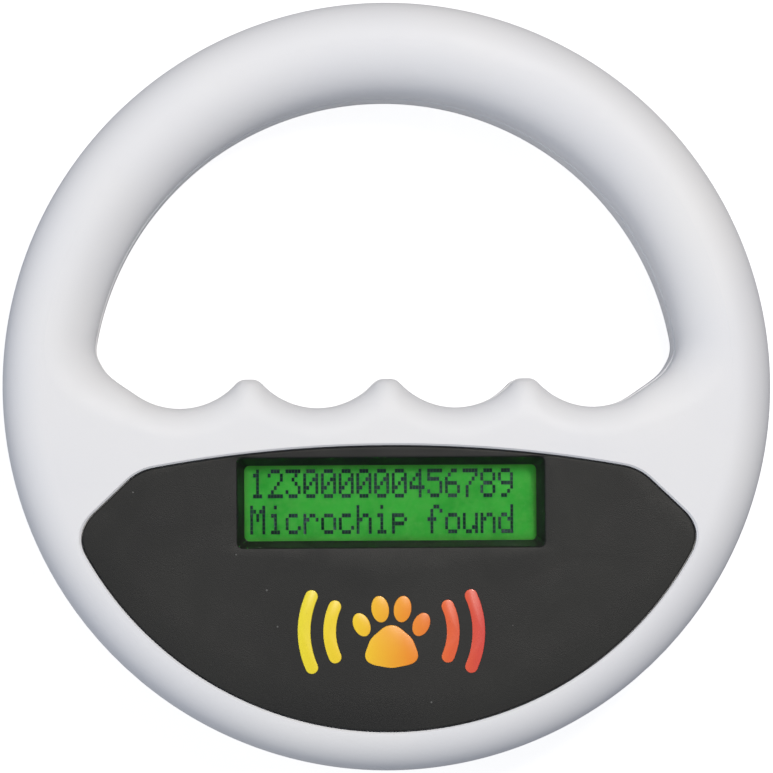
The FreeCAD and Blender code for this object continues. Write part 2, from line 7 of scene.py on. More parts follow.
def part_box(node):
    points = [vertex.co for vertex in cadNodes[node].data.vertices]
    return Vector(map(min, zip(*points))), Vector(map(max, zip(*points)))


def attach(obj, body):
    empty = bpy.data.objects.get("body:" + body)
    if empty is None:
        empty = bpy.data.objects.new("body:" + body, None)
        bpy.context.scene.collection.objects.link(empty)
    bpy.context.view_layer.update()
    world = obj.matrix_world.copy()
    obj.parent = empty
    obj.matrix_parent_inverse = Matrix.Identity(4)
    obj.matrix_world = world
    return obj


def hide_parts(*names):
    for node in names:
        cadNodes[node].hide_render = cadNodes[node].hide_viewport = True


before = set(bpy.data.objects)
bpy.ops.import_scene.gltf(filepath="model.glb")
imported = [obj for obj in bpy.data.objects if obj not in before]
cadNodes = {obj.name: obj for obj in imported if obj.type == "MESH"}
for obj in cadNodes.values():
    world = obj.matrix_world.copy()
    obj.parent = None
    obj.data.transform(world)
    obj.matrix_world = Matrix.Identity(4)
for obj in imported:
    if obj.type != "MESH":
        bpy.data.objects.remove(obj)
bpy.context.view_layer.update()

mm = 0.001
print("frame:", len(cadNodes), "nodes")

shellLow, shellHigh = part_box("front_shell")
ringRadius = shellHigh.x
faceHeight = shellHigh.z
seamHeight = shellLow.z
panelLow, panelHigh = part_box("front_panel")


# camera: straight over the face, standing a little to the lower left of it

cameraSetup = {
    "aim": (-0.10 * mm, -0.10 * mm, 19.5 * mm),
    "foot": (-46.0 * mm, -38.0 * mm),
    "distance": 1300.0 * mm,
    "frameWidth": 145.95 * mm,   # what the frame spans at the height of the aim
    "roll": 0.35,                # degrees
    "sensor": 36.0,
    "clipStart": 0.01,
}


def makeCamera(setup):
    data = bpy.data.cameras.new("camera")
    camera = bpy.data.objects.new("camera", data)
    bpy.context.scene.collection.objects.link(camera)
    aim = Vector(setup["aim"])
    place = Vector((*setup["foot"], setup["aim"][2] + setup["distance"]))
    look = aim - place
    data.sensor_width = setup["sensor"]
    data.lens = data.sensor_width * look.length / setup["frameWidth"]
    data.clip_start = setup["clipStart"]
    camera.location = place
    backward = -look.normalized()
    right = Vector((0, 1, 0)).cross(backward).normalized()
    up = backward.cross(right)
    turn = math.radians(setup["roll"])
    rolledRight = right * math.cos(turn) - up * math.sin(turn)
    rolledUp = up * math.cos(turn) + right * math.sin(turn)
    camera.rotation_euler = Matrix((rolledRight, rolledUp, backward)).transposed().to_euler()
    bpy.context.scene.camera = camera


makeCamera(cameraSetup)
print("camera set")


# stage: pale floor, a large soft key from the upper right, a cool fill from the lower left

stageSetup = {
    "floorSize": 4.0,
    "floorDrop": 0.02 * mm,
    "floorColour": (0.36, 0.36, 0.37, 1.0),
    "floorGlow": 0.86,
    "skyColour": (0.68, 0.78, 1.0, 1.0),
    "skyStrength": 0.24,
    "lights": {
        "key": {"place": (0.24, 0.46, 1.12), "size": 0.45, "power": 10.9, "colour": (1.0, 0.955, 0.895)},
        "fill": {"place": (-0.25, -0.75, 0.75), "size": 0.80, "power": 1.9, "colour": (0.93, 0.96, 1.0)},
        "side": {"place": (-0.85, 0.10, 0.50), "size": 0.60, "power": 1.9, "colour": (0.86, 0.91, 1.0)},
        "under": {"place": (0.0, 0.0, -0.60), "size": 0.90, "power": 1.6, "colour": (1.0, 1.0, 1.0)},
    },
}


def makeStage(setup):
    half = setup["floorSize"] / 2
    z = -setup["floorDrop"]
    mesh = bpy.data.meshes.new("floor")
    corners = [(-half, -half, z), (half, -half, z), (half, half, z), (-half, half, z)]
    mesh.from_pydata(corners, [], [(0, 1, 2, 3)])
    floor = bpy.data.objects.new("floor", mesh)
    bpy.context.scene.collection.objects.link(floor)
    material = bpy.data.materials.new("paleFloor")
    material.use_nodes = True
    tree = material.node_tree
    shader = tree.nodes["Principled BSDF"]
    shader.inputs["Base Color"].default_value = setup["floorColour"]
    shader.inputs["Roughness"].default_value = 0.9
    shader.inputs["Specular IOR Level"].default_value = 0.0
    shader.inputs["Emission Color"].default_value = (1, 1, 1, 1)
    sight = tree.nodes.new("ShaderNodeLightPath")   # the glow whitens the floor without lighting the piece
    glow = tree.nodes.new("ShaderNodeMath")
    glow.operation = "MULTIPLY"
    glow.inputs[1].default_value = setup["floorGlow"]
    tree.links.new(sight.outputs["Is Camera Ray"], glow.inputs[0])
    tree.links.new(glow.outputs[0], shader.inputs["Emission Strength"])
    clear = tree.nodes.new("ShaderNodeBsdfTransparent")   # from below, the floor lets the back be seen
    side = tree.nodes.new("ShaderNodeNewGeometry")
    mix = tree.nodes.new("ShaderNodeMixShader")
    tree.links.new(side.outputs["Backfacing"], mix.inputs[0])
    tree.links.new(shader.outputs[0], mix.inputs[1])
    tree.links.new(clear.outputs[0], mix.inputs[2])
    tree.links.new(mix.outputs[0], tree.nodes["Material Output"].inputs["Surface"])
    mesh.materials.append(material)
    floor.visible_shadow = False
    for name, lamp in setup["lights"].items():
        data = bpy.data.lights.new(name, "AREA")
        data.shape = "DISK"
        data.size = lamp["size"]
        data.energy = lamp["power"]
        data.color = lamp["colour"]
        light = bpy.data.objects.new(name, data)
        bpy.context.scene.collection.objects.link(light)
        light.location = lamp["place"]
        light.rotation_euler = Vector(lamp["place"]).to_track_quat("Z", "Y").to_euler()
    world = bpy.data.worlds.new("sky")
    world.use_nodes = True
    background = world.node_tree.nodes["Background"]
    background.inputs["Color"].default_value = setup["skyColour"]
    background.inputs["Strength"].default_value = setup["skyStrength"]
    bpy.context.scene.world = world
    bpy.context.scene.view_settings.view_transform = "Standard"


makeStage(stageSetup)
print("stage set")


# shader groups shared by several finishes

def startGroup(name, inputs, outputs):
    group = bpy.data.node_groups.new(name, "ShaderNodeTree")
    kinds = {"float": "NodeSocketFloat", "colour": "NodeSocketColor", "vector": "NodeSocketVector"}
    for label, kind, value in inputs:
        socket = group.interface.new_socket(name=label, in_out="INPUT", socket_type=kinds[kind])
        socket.default_value = value
    for label, kind in outputs:
        group.interface.new_socket(name=label, in_out="OUTPUT", socket_type=kinds[kind])
    enter = group.nodes.new("NodeGroupInput")
    leave = group.nodes.new("NodeGroupOutput")
    place = group.nodes.new("ShaderNodeTexCoord")
    return group, enter, leave, place.outputs["Object"]


def fillSlots(tree, node, values):   # a socket is linked, anything else is set
    for slot, value in values:
        if isinstance(value, bpy.types.NodeSocket):
            tree.links.new(value, node.inputs[slot])
        else:
            node.inputs[slot].default_value = value
    return node


def addNode(tree, kind, settings=None, **inputs):
    node = tree.nodes.new("ShaderNode" + kind)
    for key, value in (settings or {}).items():
        setattr(node, key, value)
    return fillSlots(tree, node, [(key.replace("_", " "), value) for key, value in inputs.items()])


def calculate(tree, operation, *values):
    node = addNode(tree, "Math", {"operation": operation})
    return fillSlots(tree, node, enumerate(values)).outputs[0]


def mixColours(tree, factor, first, second):
    node = addNode(tree, "Mix", {"data_type": "RGBA"})
    return fillSlots(tree, node, [(0, factor), (6, first), (7, second)]).outputs[2]


def mapRange(tree, *values):   # value, from low, from high, to low, to high
    return fillSlots(tree, addNode(tree, "MapRange"), enumerate(values)).outputs[0]


def makeMouldedGroup():   # fine moulded grain, slow drift of colour and uneven gloss
    group, enter, leave, place = startGroup("mouldedSurface", [
        ("Colour", "colour", (0.8, 0.8, 0.8, 1)),
        ("Drift Colour", "colour", (0.7, 0.7, 0.7, 1)),
        ("Grain Scale", "float", 2500.0),
        ("Drift Scale", "float", 25.0),
        ("Gloss Low", "float", 0.4),
        ("Gloss High", "float", 0.5),
    ], [("Colour", "colour"), ("Roughness", "float"), ("Height", "float")])
    fine = addNode(group, "TexNoise", Vector=place, Scale=enter.outputs["Grain Scale"], Detail=3.0,
                   Roughness=0.6)
    slow = addNode(group, "TexNoise", Vector=place, Scale=enter.outputs["Drift Scale"], Detail=2.0)
    smudge = addNode(group, "TexNoise", Vector=place, Scale=90.0, Detail=4.0, Distortion=0.8)
    drift = mapRange(group, slow.outputs[0], 0.35, 0.65, 0.0, 1.0)
    colour = mixColours(group, drift, enter.outputs["Colour"], enter.outputs["Drift Colour"])
    gloss = mapRange(group, smudge.outputs[0], 0.35, 0.65,
                     enter.outputs["Gloss Low"], enter.outputs["Gloss High"])
    group.links.new(colour, leave.inputs["Colour"])
    group.links.new(gloss, leave.inputs["Roughness"])
    group.links.new(fine.outputs[0], leave.inputs["Height"])
    return group


def makeSpeckGroup():   # sparse dust specks
    group, enter, leave, place = startGroup("dustSpecks", [
        ("Scale", "float", 400.0),
        ("Size", "float", 0.08),
        ("Share", "float", 0.04),
    ], [("Mask", "float")])
    cells = addNode(group, "TexVoronoi", Vector=place, Scale=enter.outputs["Scale"])
    split = addNode(group, "SeparateColor", Color=cells.outputs["Color"])
    chosen = calculate(group, "LESS_THAN", split.outputs[0], enter.outputs["Share"])
    near = calculate(group, "LESS_THAN", cells.outputs["Distance"], enter.outputs["Size"])
    both = calculate(group, "MULTIPLY", chosen, near)
    group.links.new(both, leave.inputs["Mask"])
    return group


def makeScuffGroup():   # faint short scratches from being set down on tables
    group, enter, leave, place = startGroup("tableScuffs", [
        ("Scale", "float", 60.0),
        ("Amount", "float", 0.3),
    ], [("Mask", "float")])
    turned = addNode(group, "Mapping", Vector=place, Rotation=(0.0, 0.0, 0.7), Scale=(1.0, 14.0, 1.0))
    streaks = addNode(group, "TexNoise", Vector=turned.outputs[0], Scale=enter.outputs["Scale"], Detail=5.0)
    where = addNode(group, "TexNoise", Vector=place, Scale=40.0, Detail=2.0)
    line = mapRange(group, streaks.outputs[0], 0.66, 0.70, 0.0, 1.0)
    patch = mapRange(group, where.outputs[0], 0.52, 0.62, 0.0, enter.outputs["Amount"])
    both = calculate(group, "MULTIPLY", line, patch)
    group.links.new(both, leave.inputs["Mask"])
    return group


mouldedGroup = makeMouldedGroup()
speckGroup = makeSpeckGroup()
scuffGroup = makeScuffGroup()


def placeGroup(tree, group, **values):
    node = tree.nodes.new("ShaderNodeGroup")
    node.node_tree = group
    for key, value in values.items():
        node.inputs[key.replace("_", " ")].default_value = value
    return node


def addBump(tree, height, strength, distance):
    return addNode(tree, "Bump", Strength=strength, Distance=distance, Height=height).outputs[0]


def startMaterial(name, **sockets):
    material = bpy.data.materials.new(name)
    material.use_nodes = True
    tree = material.node_tree
    shader = tree.nodes["Principled BSDF"]
    for key, value in sockets.items():
        shader.inputs[key.replace("_", " ")].default_value = value
    return material, tree, shader


def mouldedPlastic(name, colour, drift, gloss, grain, bump, dust=0.0, scuffs=0.0,
                   dustColour=(0.6, 0.6, 0.58, 1), **sockets):
    material, tree, shader = startMaterial(name, **sockets)
    base = placeGroup(tree, mouldedGroup, Colour=(*colour, 1), Drift_Colour=(*drift, 1),
                      Grain_Scale=grain, Gloss_Low=gloss[0], Gloss_High=gloss[1])
    paint = base.outputs["Colour"]
    if dust:
        specks = placeGroup(tree, speckGroup, Scale=dust, Size=0.10, Share=0.05)
        paint = mixColours(tree, specks.outputs["Mask"], paint, dustColour)
    if scuffs:
        marks = placeGroup(tree, scuffGroup, Amount=scuffs)
        paint = mixColours(tree, marks.outputs["Mask"], paint, dustColour)
    tree.links.new(paint, shader.inputs["Base Color"])
    tree.links.new(base.outputs["Roughness"], shader.inputs["Roughness"])
    tree.links.new(addBump(tree, base.outputs["Height"], bump, 0.1 * mm), shader.inputs["Normal"])
    return material


# building closed forms from rings of points

def unitTurn(degrees):
    return np.array([np.cos(np.radians(degrees)), np.sin(np.radians(degrees))]).T


def softMin(a, b, k):
    h = np.clip(0.5 + 0.5 * (b - a) / k, 0.0, 1.0)
    return b * (1 - h) + a * h - k * h * (1 - h)


def softMax(a, b, k):
    return -softMin(-a, -b, k)


def smoothStep(value, low, high):
    t = np.clip((value - low) / (high - low), 0.0, 1.0)
    return t * t * (3 - 2 * t)


halvings = 44        # steps in each search for an outline
smoothAngle = 35.0   # degrees; edges sharper than this stay crisp
spareMaterial = bpy.data.materials.new("spare")   # worn by cutters only


def crossing(field, origins, directions, level, reach):   # where each spoke meets the field's level
    low = np.zeros(len(origins))
    high = np.full(len(origins), reach)
    for _ in range(halvings):
        middle = (low + high) / 2
        points = origins + directions * middle[:, None]
        inside = field(points[:, 0], points[:, 1]) < level
        low = np.where(inside, middle, low)
        high = np.where(inside, high, middle)
    return origins + directions * low[:, None]


def atHeight(points, z):
    return np.column_stack([points, np.broadcast_to(z, len(points))])


def linkMesh(name, vertices, faces, material):
    mesh = bpy.data.meshes.new(name)
    mesh.from_pydata([tuple(v) for v in vertices], [], faces)
    mesh.validate()
    piece = bpy.data.objects.new(name, mesh)
    bpy.context.scene.collection.objects.link(piece)
    mesh.materials.append(material)
    shadeByAngle(piece)
    return piece


def shadeByAngle(piece):
    piece.data.shade_smooth()
    piece.data.set_sharp_from_angle(angle=math.radians(smoothAngle))


def ringsToFaces(count, rings, closed):   # quads between the rings, and back to the first if closed
    faces = []
    pairs = [(k, (k + 1) % rings) for k in range(rings if closed else rings - 1)]
    for a, b in pairs:
        for j in range(count):
            i = (j + 1) % count
            faces.append((a * count + j, a * count + i, b * count + i, b * count + j))
    return faces


def ringPiece(name, rings, material, capped=False, flip=False):
    count = len(rings[0])
    faces = ringsToFaces(count, len(rings), not capped)
    if capped:
        last = (len(rings) - 1) * count
        faces.append(tuple(reversed(range(count))))
        faces.append(tuple(range(last, last + count)))
    if flip:
        faces = [tuple(reversed(face)) for face in faces]
    return linkMesh(name, np.concatenate(rings), faces, material)


def roundedSteps(count):   # quarter-circle fractions: how far in, how far up
    turns = np.linspace(0.0, math.pi / 2, count)
    return list(zip(1 - np.cos(turns), 1 - np.sin(turns)))


def joined(tools):   # separate cutters as one mesh, so that one step does all the cuts
    vertices = []
    faces = []
    for tool in tools:
        first = len(vertices)
        vertices += [tuple(v.co) for v in tool.data.vertices]
        faces += [tuple(first + i for i in polygon.vertices) for polygon in tool.data.polygons]
        bpy.data.objects.remove(tool)
    return linkMesh("cutters", vertices, faces, spareMaterial)


def carve(piece, tools, operation="DIFFERENCE"):
    cutters = joined(tools)
    step = piece.modifiers.new("carve", "BOOLEAN")
    step.operation = operation
    step.solver = "MANIFOLD"
    step.object = cutters
    settle(piece)
    bpy.data.objects.remove(cutters)


def settle(piece):   # turns the evaluated piece into its own plain mesh
    graph = bpy.context.evaluated_depsgraph_get()
    plain = bpy.data.meshes.new_from_object(piece.evaluated_get(graph))
    piece.modifiers.clear()
    piece.data = plain
    shadeByAngle(piece)


def ownPiece(piece, body, slot, *replaced):
    if replaced:
        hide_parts(*replaced)
    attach(piece, body)


# the two shells

handOpening = {
    "archRadius": 55.8 * mm,
    "archCentreY": -1.1 * mm,
    "ridgeTopY": 1.3 * mm,
    "grooveRadius": 14.5 * mm,
    "groovePitch": 26.05 * mm,
    "grooveCentreY": 10.35 * mm,
    "cornerRadius": 7.5 * mm,
    "cornerX": 46.7 * mm,
    "cornerY": 8.0 * mm,
    "cornerAngle": 11.5,
    "peakBlend": 0.9 * mm,
    "sideBlend": 3.0 * mm,
    "sideX": (42.0 * mm, 48.0 * mm),      # between these the peak's blend turns into the side's
    "sideY": (2.0 * mm, 7.0 * mm),        # and between these it turns back
    "blendGrowth": 0.4,
    "growthLimit": 6.0 * mm,
    "blendEndY": (4.0 * mm, 10.0 * mm),   # the blend fades out between these
    "leastBlend": 0.05 * mm,
    "archStart": 45.0 * mm,               # the arch's spokes start on this radius
    "archSpokes": 240,
    "cornerSpokes": 36,
    "grooveSpokes": 320,
}

shells = {
    "archFlare": 9.5 * mm,
    "grooveFlare": 6.0 * mm,
    "outerRound": 7.5 * mm,
    "backFlare": 3.0 * mm,
    "backRound": 4.0 * mm,
    "wall": 2.2 * mm,
    "seamBevel": 0.35 * mm,
    "rearLip": 0.2 * mm,
    "archCeiling": 21.0 * mm,
    "bodyCeiling": 23.0 * mm,
    "shoulder": 2.0 * mm,
    "ceilingFlare": 0.5,
    "openingReach": 60.0 * mm,
    "rimReach": 140.0 * mm,
    "roundSteps": 14,
    "faceSteps": (0.2, 0.4, 0.6, 0.8),
}

panelRecess = {
    "floor": panelHigh.z - 1.7 * mm,
    "lipBevel": 0.35 * mm,
    "topY": -11.3 * mm,
    "topArc": 246.5 * mm,
    "shoulder": (47.2 * mm, -15.9 * mm),
    "elbow": (59.2 * mm, -27.3 * mm),
    "bottomArc": 65.2 * mm,
    "shoulderBlend": 1.6 * mm,
    "elbowBlend": 4.9 * mm,
    "middle": (0.0, -38.0 * mm),
    "spokes": 480,
    "reach": 80.0 * mm,
    "collarHole": (59.6 * mm, 17.7 * mm),
    "collarCorner": 1.2 * mm,
    "collarHeights": (22.0 * mm, 26.0 * mm),
}


def openingDistance(x, y):
    s = handOpening
    arch = np.hypot(x, y - s["archCentreY"]) - s["archRadius"]
    overArch = arch + s["cornerRadius"]
    overLine = s["ridgeTopY"] - y + s["cornerRadius"]
    upper = (np.minimum(np.maximum(overArch, overLine), 0.0)
             + np.hypot(np.maximum(overArch, 0.0), np.maximum(overLine, 0.0)) - s["cornerRadius"])
    sides = smoothStep(np.abs(x), *s["sideX"])
    blend = s["peakBlend"] + (s["sideBlend"] - s["peakBlend"]) * sides * (1 - smoothStep(y, *s["sideY"]))
    grooves = [np.hypot(x - k * s["groovePitch"], y - s["grooveCentreY"]) - s["grooveRadius"]
               for k in (-1.5, -0.5, 0.5, 1.5)]
    found = 0.0
    for growth in (0.0, s["blendGrowth"]):   # the second pass blends wider, further from the edge
        near = blend + growth * np.clip(found, 0.0, s["growthLimit"])
        near = np.maximum(near * (1 - smoothStep(y, *s["blendEndY"])), s["leastBlend"])
        found = upper
        for groove in grooves:
            found = softMin(found, groove, near)
    return found


def rimDistance(x, y):
    return np.hypot(x, y) - ringRadius


def shellSpokes():   # start points inside the opening, and directions out to the rim, anticlockwise
    s = handOpening
    corner = s["cornerAngle"]
    archTurns = np.linspace(corner, 180 - corner, s["archSpokes"])
    archStart = unitTurn(archTurns) * s["archStart"] + np.array([0.0, s["archCentreY"]])
    leftTurns = np.linspace(180 - corner, 270, s["cornerSpokes"] + 2)[1:-1]
    leftStart = np.tile([-s["cornerX"], s["cornerY"]], (len(leftTurns), 1))
    xs = np.linspace(-s["cornerX"], s["cornerX"], s["grooveSpokes"])
    grooveStart = np.column_stack([xs, np.full(len(xs), s["cornerY"])])
    rightTurns = np.linspace(-90, corner, s["cornerSpokes"] + 2)[1:-1]
    rightStart = np.tile([s["cornerX"], s["cornerY"]], (len(rightTurns), 1))
    starts = np.concatenate([archStart, leftStart, grooveStart, rightStart])
    turns = np.concatenate([archTurns, leftTurns, np.full(len(xs), 270.0), rightTurns])
    share = np.concatenate([np.ones(len(archTurns)), np.linspace(1, 0, len(leftTurns) + 2)[1:-1],
                            np.zeros(len(xs)), np.linspace(0, 1, len(rightTurns) + 2)[1:-1]])
    return starts, unitTurn(turns), smoothStep(share, 0.0, 1.0)


def shellRings(starts, ways, flare, rim, top, seam, ceiling, lip=0.0):
    # rings of a closed shell from the opening's wall over the face to the rim, and back along the inside
    s = shells
    up = 1 if top > seam else -1
    bevel = s["seamBevel"]

    def fromOpening(inset, z):
        return atHeight(crossing(openingDistance, starts, ways, inset, s["openingReach"]), z)

    def fromRim(inset, z):
        return atHeight(crossing(rimDistance, starts, ways, -inset, s["rimReach"]), z)

    rings = [fromOpening(bevel - lip, seam), fromOpening(-lip, seam + up * bevel)]
    rings.append(fromOpening(-lip, (seam + up * bevel + top - up * flare) / 2))
    for share, drop in roundedSteps(s["roundSteps"]):
        rings.append(fromOpening(flare * share - lip, top - up * flare * drop))
    inner = rings[-1]
    outer = [fromRim(rim * share, top - up * rim * drop) for share, drop in roundedSteps(s["roundSteps"])]
    outer.reverse()
    for t in s["faceSteps"]:
        rings.append(inner * (1 - t) + outer[0] * t)
    rings += outer
    rings += [fromRim(0.0, seam + up * bevel), fromRim(bevel, seam)]
    wall = s["wall"]
    shoulder = ceiling - up * s["shoulder"]
    rings += [fromRim(wall, seam), fromRim(wall, shoulder), fromRim(wall + s["shoulder"], ceiling)]
    rings += [fromOpening(flare * s["ceilingFlare"] + wall, ceiling), fromOpening(wall, shoulder),
              fromOpening(wall, seam)]
    return rings


def panelDistance(x, y):
    s = panelRecess
    top = np.hypot(x, y - s["topY"] + s["topArc"]) - s["topArc"]
    (sx, sy), (ex, ey) = s["shoulder"], s["elbow"]
    normal = np.array([sy - ey, ex - sx])
    normal /= np.hypot(*normal)
    cut = (np.abs(x) - sx) * normal[0] + (y - sy) * normal[1]
    bottom = np.hypot(x, y) - s["bottomArc"]
    return softMax(softMax(top, cut, s["shoulderBlend"]), bottom, s["elbowBlend"])


def roundTool(name, cx, cy, profile, count=48):   # a turned cutter: profile is radius and height
    circle = unitTurn(np.linspace(0, 360, count, endpoint=False))
    rings = [atHeight(circle * radius + np.array([cx, cy]), z) for radius, z in profile]
    return ringPiece(name, rings, spareMaterial, capped=True)


def blockTool(name, low, high):
    x0, y0, z0 = low
    x1, y1, z1 = high
    corners = np.array([(x0, y0), (x1, y0), (x1, y1), (x0, y1)])
    return ringPiece(name, [atHeight(corners, z0), atHeight(corners, z1)], spareMaterial, capped=True)


def roundedBoxOutline(centre, size, corner, perSide=24, perCorner=8):
    hx, hy = size[0] / 2 - corner, size[1] / 2 - corner
    points = []
    for kx, ky, start in ((1, -1, -90), (1, 1, 0), (-1, 1, 90), (-1, -1, 180)):
        arc = unitTurn(np.linspace(start, start + 90, perCorner)) * corner + np.array([kx * hx, ky * hy])
        points.append(arc)
    outline = []
    for k, arc in enumerate(points):
        outline.append(arc)
        following = points[(k + 1) % 4][0]
        steps = np.linspace(0, 1, perSide + 2)[1:-1, None]
        outline.append(arc[-1] * (1 - steps) + following * steps)
    return np.concatenate(outline) + np.array(centre)


portSeat = {
    "halfWidth": 8.2 * mm,
    "floorY": -71.1 * mm,
    "bottom": 5.9 * mm,
    "top": 17.2 * mm,
    "hingeY": -71.75 * mm,
    "hingeZ": 7.2 * mm,
    "hingeGroove": 1.0 * mm,
    "socketHalf": 4.15 * mm,
    "socketZ": (9.3 * mm, 14.5 * mm),
    "outsideY": -80.0 * mm,
    "socketEndY": -67.0 * mm,
    "grooveSides": 32,
}


def portTools():
    s = portSeat
    pocket = blockTool("pocket", (-s["halfWidth"], s["outsideY"], s["bottom"]),
                       (s["halfWidth"], s["floorY"], s["top"]))
    socket = blockTool("socketHole", (-s["socketHalf"], s["outsideY"], s["socketZ"][0]),
                       (s["socketHalf"], s["socketEndY"], s["socketZ"][1]))
    circle = unitTurn(np.linspace(0, 360, s["grooveSides"], endpoint=False)) * s["hingeGroove"]
    rings = [np.column_stack([np.full(len(circle), x), circle[:, 0] + s["hingeY"], circle[:, 1] + s["hingeZ"]])
             for x in (-s["halfWidth"], s["halfWidth"])]
    return [pocket, socket, ringPiece("hingeGroove", rings, spareMaterial, capped=True)]


whiteShell = mouldedPlastic(
    "whiteShell", colour=(0.80, 0.795, 0.79), drift=(0.775, 0.775, 0.785), gloss=(0.50, 0.60),
    grain=3200.0, bump=0.10, scuffs=0.03, Specular_IOR_Level=0.28)
fasciaPlastic = mouldedPlastic(
    "charcoalFascia", colour=(0.013, 0.013, 0.012), drift=(0.019, 0.019, 0.017), gloss=(0.46, 0.56),
    grain=5200.0, bump=0.45, dust=520.0, dustColour=(0.10, 0.10, 0.095, 1), Specular_IOR_Level=0.27)


def nodeCentre(node):
    low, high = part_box(node)
    return (low.x + high.x) / 2, (low.y + high.y) / 2


windowCentre = nodeCentre("window_lens")


def makeFrontShell():
    starts, ways, share = shellSpokes()
    s, r = shells, panelRecess
    flare = s["grooveFlare"] + (s["archFlare"] - s["grooveFlare"]) * share
    ceiling = s["bodyCeiling"] + (s["archCeiling"] - s["bodyCeiling"]) * share
    rings = shellRings(starts, ways, flare, s["outerRound"], faceHeight, seamHeight, ceiling)
    shell = ringPiece("frontShell", rings, whiteShell, flip=True)
    turns = unitTurn(np.linspace(0, 360, r["spokes"], endpoint=False))
    middle = np.tile(r["middle"], (len(turns), 1))
    bevel = r["lipBevel"]
    levels = [(0.0, r["floor"]), (0.0, faceHeight - bevel), (bevel, faceHeight), (bevel, faceHeight + mm)]
    recess = [atHeight(crossing(panelDistance, middle, turns, level, r["reach"]), z) for level, z in levels]
    carve(shell, [ringPiece("recess", recess, spareMaterial, capped=True)])
    outline = roundedBoxOutline(windowCentre, r["collarHole"], r["collarCorner"])
    collar = [atHeight(outline, z) for z in r["collarHeights"]]
    carve(shell, [ringPiece("collarHole", collar, spareMaterial, capped=True)])
    for tool in portTools():
        carve(shell, [tool])
    ownPiece(shell, "housing", "white_shell", "front_shell")


backDetails = {
    "postRadius": 3.5 * mm,
    "screwWellRadius": 2.6 * mm,
    "screwWellDepth": 4.0 * mm,
    "shankRadius": 1.3 * mm,
    "buttonHole": 7.15 * mm,
    "dishRadius": 12.0 * mm,
    "dishDepth": 0.5 * mm,
    "soundHole": 0.75 * mm,
    "soundSpacing": 3.0 * mm,
    "labelPocket": (40.6 * mm, 18.6 * mm),
    "labelDepth": 0.3 * mm,
    "labelCorner": 1.5 * mm,
    "postFoot": 1.0 * mm,
    "dishOverlap": 0.2 * mm,
    "cutHeight": 4.0 * mm,     # cutters for the back wall end here, above it
    "screwSpread": 8.0 * mm,   # points closer than this belong to the same screw
}


def screwPlaces():   # centres of the case screws, from their own node
    points = np.array([v.co[:] for v in cadNodes["case_screws"].data.vertices])
    places = []
    for x, y, _ in points:
        for place in places:
            if math.hypot(place[0][0] - x, place[0][1] - y) < backDetails["screwSpread"]:
                place.append((x, y))
                break
        else:
            places.append([(x, y)])
    return [tuple((min(axis) + max(axis)) / 2 for axis in zip(*place)) for place in places]


def makeRearShell():
    starts, ways, _ = shellSpokes()
    s, d = shells, backDetails
    flare = np.full(len(starts), s["backFlare"])
    rings = shellRings(starts, ways, flare, s["backRound"], 0.0, seamHeight, s["wall"], s["rearLip"])
    shell = ringPiece("rearShell", rings, whiteShell)
    places = screwPlaces()
    post = [(d["postRadius"], d["postFoot"]), (d["postRadius"], seamHeight)]
    carve(shell, [roundTool("post", x, y, post) for x, y in places], "UNION")
    well, depth, shank = d["screwWellRadius"], d["screwWellDepth"], d["shankRadius"]
    screwHole = [(well, -mm), (well, depth), (shank, depth), (shank, seamHeight + mm)]
    tools = [roundTool("screwHole", x, y, screwHole) for x, y in places]
    dish, hole, overlap = d["dishRadius"], d["buttonHole"], d["dishOverlap"]
    seat = [(dish + overlap, -overlap), (dish, 0.0), (hole, d["dishDepth"]), (hole, d["cutHeight"])]
    tools.append(roundTool("buttonSeat", *nodeCentre("read_button"), seat, 96))
    sx, sy = nodeCentre("buzzer")
    step = d["soundSpacing"]
    soundHole = [(d["soundHole"], -mm), (d["soundHole"], d["cutHeight"])]
    for dx, dy in ((0, 0), (step, 0), (-step, 0), (0, step), (0, -step)):
        tools.append(roundTool("soundHole", sx + dx, sy + dy, soundHole, 24))
    pocket = roundedBoxOutline(nodeCentre("rating_label"), d["labelPocket"], d["labelCorner"])
    tools.append(ringPiece("labelPocket", [atHeight(pocket, -mm), atHeight(pocket, d["labelDepth"])],
                           spareMaterial, capped=True))
    carve(shell, tools)
    for tool in portTools():
        carve(shell, [tool])
    ownPiece(shell, "housing", "white_shell", "rear_shell")


makeFrontShell()
makeRearShell()
print("shells made")


# fascia, with its window well

fascia = {
    "gap": 0.2 * mm,
    "edgeRound": 0.35 * mm,
    "lipRound": 0.5 * mm,
    "wellTop": (58.0 * mm, 17.1 * mm),
    "wellBottom": (55.0 * mm, 14.2 * mm),
    "wellCorner": 1.0 * mm,
    "collar": (59.4 * mm, 17.5 * mm),
    "collarCorner": 1.2 * mm,
    "lipSpread": 0.7,
    "faceSteps": (0.15, 0.35, 0.6, 0.8),
    "edgeSteps": 6,
    "reach": 90.0 * mm,
}


def windowRing(size, corner, z):
    return atHeight(roundedBoxOutline(windowCentre, size, corner, perSide=90, perCorner=12), z)


